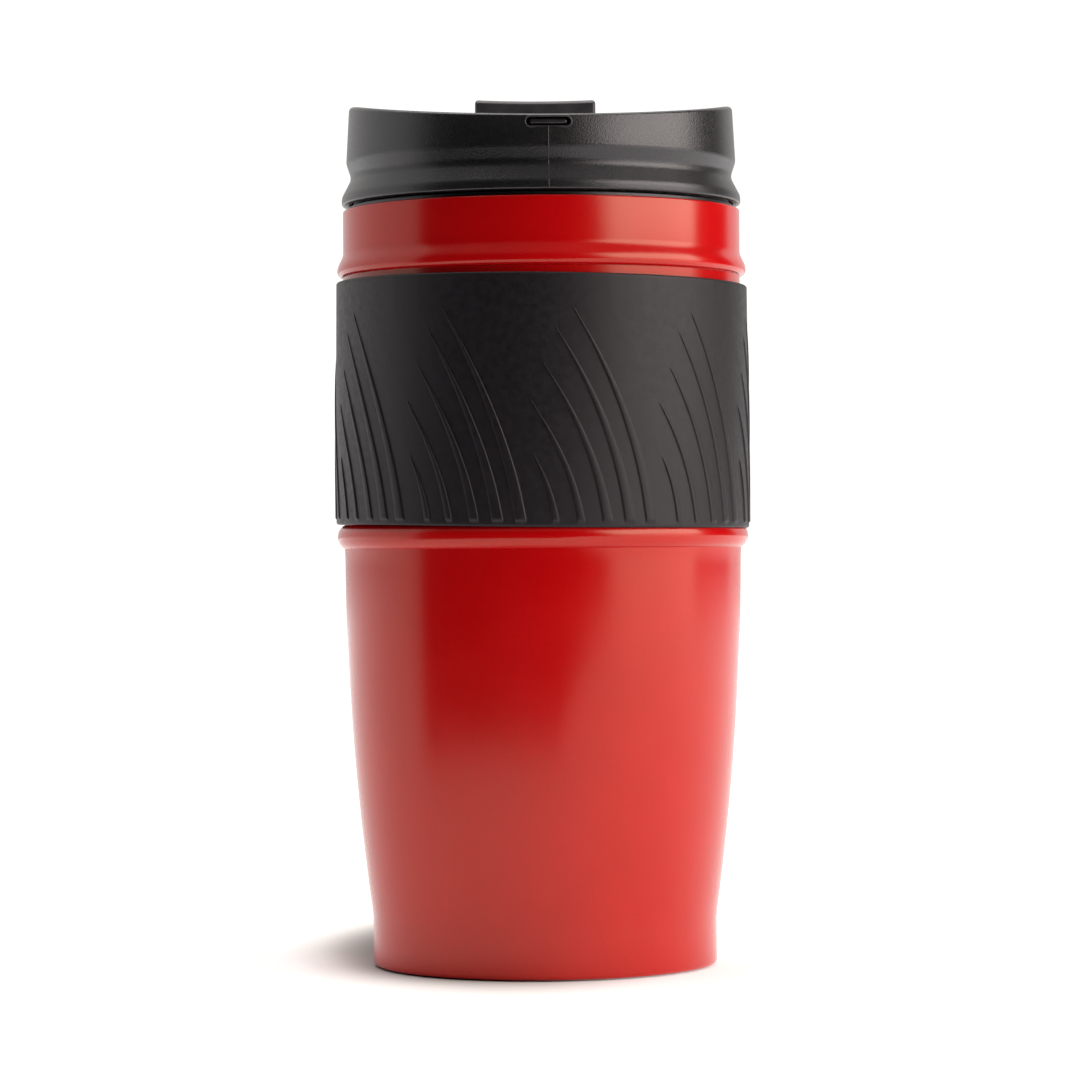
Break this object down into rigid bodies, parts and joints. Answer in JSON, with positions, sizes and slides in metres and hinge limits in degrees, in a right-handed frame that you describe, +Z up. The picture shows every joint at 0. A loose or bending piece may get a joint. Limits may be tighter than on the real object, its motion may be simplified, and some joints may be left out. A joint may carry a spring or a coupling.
{
  "type": "insulated travel mug",
  "caption": "Double-wall steel travel mug with a silicone grip sleeve and a screw lid whose flip cap covers the sip opening.",
  "frame": {"origin": "centre of the rubber pad's resting face under the mug", "axes": "+Z up along the mug's axis, -Y towards the dipped front of the lid's rim, +Y towards the thumb tab, +X to the right seen from the front"},
  "size_m": [0.0842, 0.0842, 0.1785],
  "materials": {
    "red_paint": "satin red paint with a faint horizontal brushed grain",
    "steel": "brushed stainless steel",
    "black_plastic": "finely pebbled matte black",
    "gloss_black": "smooth semi-gloss black",
    "silicone_sleeve": "matte black silicone",
    "rubber_pad": "matte black rubber",
    "seal": "soft grey silicone"
  },
  "bodies": {
    "mug": {"outer_shell": "red_paint", "shell_base": "steel", "foot_pad": "rubber_pad", "inner_cup": "steel", "neck_collar": "black_plastic", "grip_sleeve": "silicone_sleeve"},
    "gasket": {"lid_gasket": "seal"},
    "lid": {"lid_shell": "black_plastic", "lid_plug": "black_plastic", "catch_bar": "gloss_black", "hinge_pin": "steel"},
    "cap": {"flip_cap": "gloss_black", "sip_stopper": "seal", "vent_stopper": "seal"}
  },
  "joints": [
    {"name": "lid_lift", "type": "slide", "parent": "mug", "child": "gasket", "axis": [0, 0, 1], "range_m": [0, 0.012]},
    {"name": "lid_turn", "type": "hinge", "parent": "gasket", "child": "lid", "pos_m": [0, 0, 0.1534], "axis": [0, 0, 1], "range_deg": [0, 540]},
    {"name": "cap_flip", "type": "hinge", "parent": "lid", "child": "cap", "pos_m": [0, 0, 0.1688], "axis": [1, 0, 0], "range_deg": [0, 170]}
  ],
  "couplings": [
    {"joint": "lid_lift", "follows": "lid_turn", "m_per_rad": 0.0012732}
  ]
}
